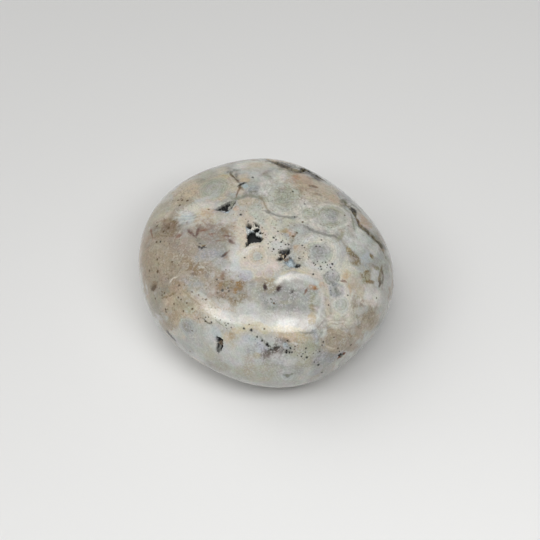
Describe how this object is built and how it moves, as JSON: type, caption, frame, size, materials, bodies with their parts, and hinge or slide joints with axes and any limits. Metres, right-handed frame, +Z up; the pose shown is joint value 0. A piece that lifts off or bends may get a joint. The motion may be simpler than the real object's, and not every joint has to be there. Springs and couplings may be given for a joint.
{
  "type": "tumbled ocean jasper palm stone",
  "caption": "Flattened oval palm stone of polished orbicular jasper, with small open vugs and a rough seam over its back shoulder.",
  "frame": {"origin": "bottom centre of the stone's box, at the middle of the small worn face that it rests on", "axes": "+X along the stone's longest extent, +Z up through its thickness, the open seam on the +Y shoulder"},
  "size_m": [0.0652, 0.06, 0.032],
  "materials": {
    "polished_jasper": "polished stone: cream, grey-green and beige orbs with brown, ochre and bluish quartz patches"
  },
  "bodies": {
    "root": {"ocean_jasper_stone": "polished_jasper"}
  },
  "joints": []
}
